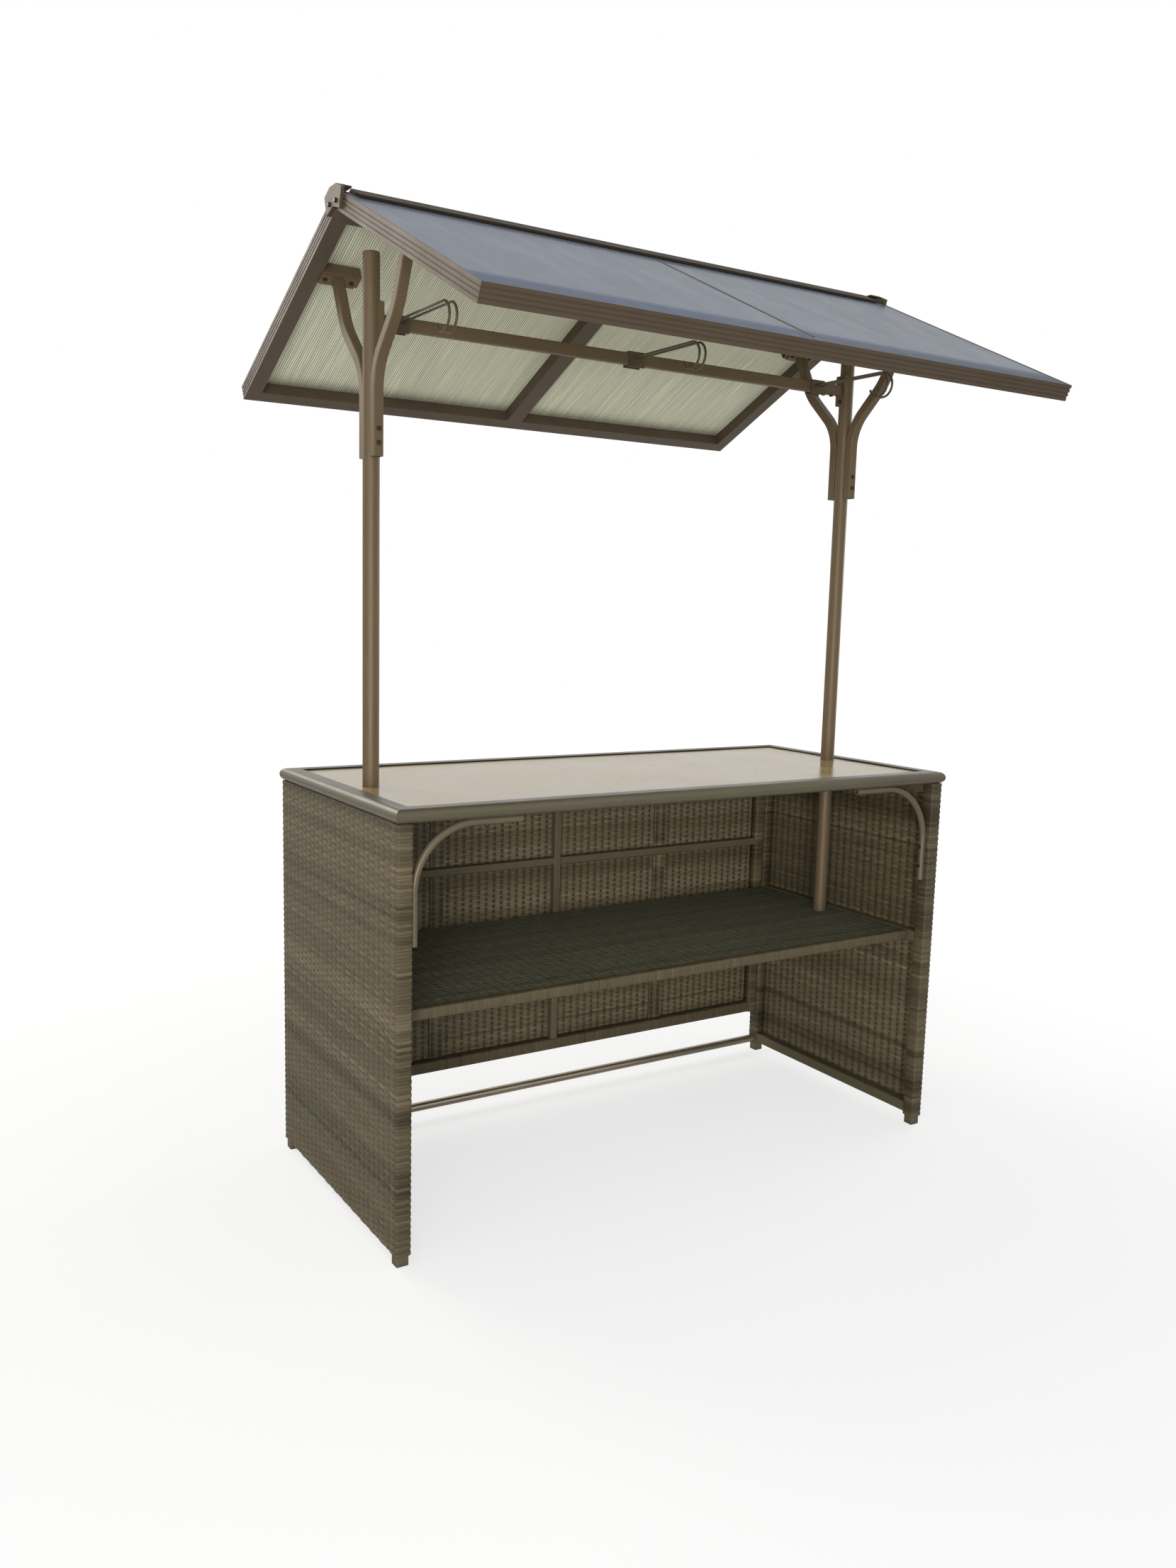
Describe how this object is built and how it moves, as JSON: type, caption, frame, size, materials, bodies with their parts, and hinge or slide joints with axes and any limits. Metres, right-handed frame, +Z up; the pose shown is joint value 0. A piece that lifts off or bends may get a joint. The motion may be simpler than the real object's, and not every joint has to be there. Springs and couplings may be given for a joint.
{
  "type": "cocktail bar stand",
  "caption": "Free-standing garden cocktail bar: woven counter with shelf and sunk worktop, slim braced posts, a gable roof of ribbed clear panes and hooks that slide on a rail.",
  "frame": {"origin": "on the floor under the middle of the worktop", "axes": "+X right along the counter, +Y towards the guests, +Z up; the open shelf side faces -Y"},
  "size_m": [1.69, 1.4266, 2.4116],
  "materials": {
    "frame_paint": "satin",
    "trim_paint": "satin",
    "rail_metal": "satin",
    "weave": "matte",
    "shelf_weave": "matte",
    "worktop": "gloss",
    "pane": "gloss",
    "bolt_steel": "satin",
    "foot_plastic": "matte"
  },
  "bodies": {
    "stand": {"back_frame": "frame_paint", "back_weave": "weave", "base_rail": "rail_metal", "brace_bolts": "bolt_steel", "corner_bolts": "bolt_steel", "corner_bracket_left": "frame_paint", "corner_bracket_right": "frame_paint", "cross_rail": "frame_paint", "end_frame_left": "frame_paint", "end_frame_right": "frame_paint", "end_weave_left": "weave", "end_weave_right": "weave", "flange_screws": "bolt_steel", "front_brace_arms": "frame_paint", "front_brace_left": "frame_paint", "front_brace_right": "frame_paint", "front_eave": "frame_paint", "front_pane_left": "pane", "front_pane_right": "pane", "front_rafter_left": "frame_paint", "front_rafter_mid": "frame_paint", "front_rafter_right": "frame_paint", "front_ridge_bar": "frame_paint", "leg_feet": "foot_plastic", "post_caps": "frame_paint", "post_left": "frame_paint", "post_right": "frame_paint", "post_spigots": "frame_paint", "rail_bolts": "bolt_steel", "rail_bracket_left": "frame_paint", "rail_bracket_right": "frame_paint", "rear_brace_arms": "frame_paint", "rear_brace_left": "frame_paint", "rear_brace_right": "frame_paint", "rear_eave": "frame_paint", "rear_pane_left": "pane", "rear_pane_right": "pane", "rear_rafter_left": "frame_paint", "rear_rafter_mid": "frame_paint", "rear_rafter_right": "frame_paint", "rear_ridge_bar": "frame_paint", "ridge_bolts": "bolt_steel", "ridge_cap": "frame_paint", "ridge_plate_left": "frame_paint", "ridge_plate_right": "frame_paint", "shelf_frame": "frame_paint", "shelf_weave": "shelf_weave", "trim_back": "trim_paint", "trim_front": "trim_paint", "trim_left": "trim_paint", "trim_right": "trim_paint", "worktop_panel": "worktop"},
    "hook_left": {"hook_saddle_left": "rail_metal", "hook_wires_left": "rail_metal"},
    "hook_middle": {"hook_saddle_middle": "rail_metal", "hook_wires_middle": "rail_metal"},
    "hook_right": {"hook_saddle_right": "rail_metal", "hook_wires_right": "rail_metal"}
  },
  "joints": [
    {"name": "slide_left", "type": "slide", "parent": "stand", "child": "hook_left", "axis": [1, 0, 0], "range_m": [-0.012, 0.3]},
    {"name": "slide_middle", "type": "slide", "parent": "stand", "child": "hook_middle", "axis": [1, 0, 0], "range_m": [-0.3, 0.3]},
    {"name": "slide_right", "type": "slide", "parent": "stand", "child": "hook_right", "axis": [1, 0, 0], "range_m": [-0.28, 0.068]}
  ]
}
